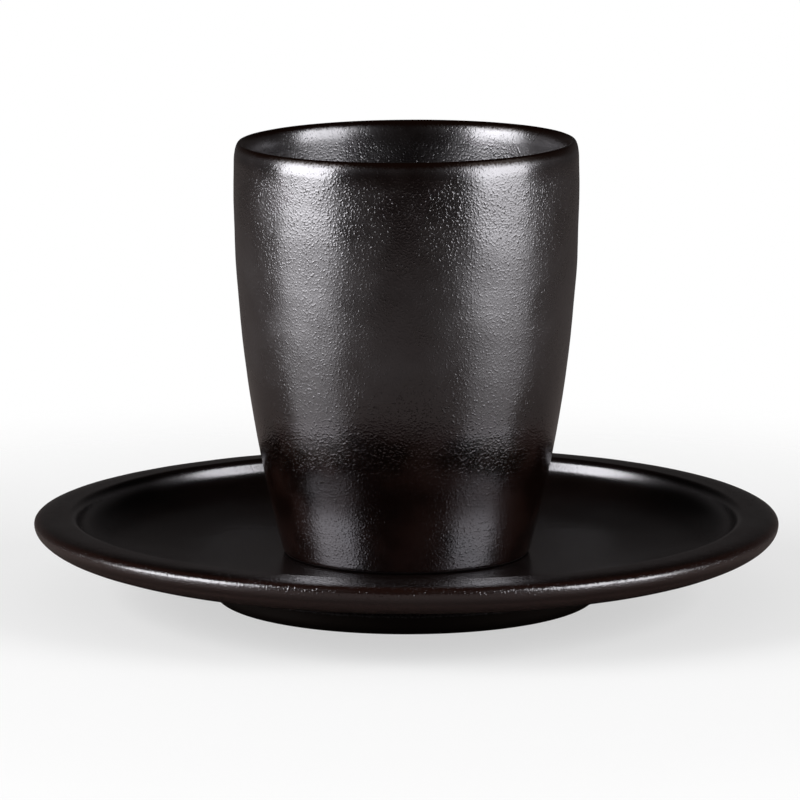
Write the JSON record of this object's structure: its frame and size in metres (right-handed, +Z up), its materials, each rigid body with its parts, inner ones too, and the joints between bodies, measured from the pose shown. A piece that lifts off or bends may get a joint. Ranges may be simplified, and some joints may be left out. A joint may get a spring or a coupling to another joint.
{
  "type": "teacup and saucer",
  "caption": "Tall handleless teacup with a drawn-in foot and rounded lip, standing loose in the well of a round saucer with a rolled rim and foot ring, for serving a hot drink.",
  "frame": {"origin": "on the table under the middle of the saucer, at the bottom of the saucer's foot ring", "axes": "+Z up along the shared turning axis of the saucer and the cup; X and Y are level and interchangeable"},
  "size_m": [0.15, 0.15, 0.0928],
  "materials": {
    "saucer_glaze": "satin dark brown-black glaze, reddish brown where it thins on the rim's edge",
    "cup_glaze": "pebbled gunmetal glaze with a metallic sheen, darker brown towards the foot and along the lip"
  },
  "bodies": {
    "saucer": {"saucer": "saucer_glaze"},
    "cup": {"cup": "cup_glaze"}
  },
  "joints": [
    {"name": "cup_lift", "type": "slide", "parent": "saucer", "child": "cup", "axis": [0, 0, 1], "range_m": [0, 0.1]}
  ]
}
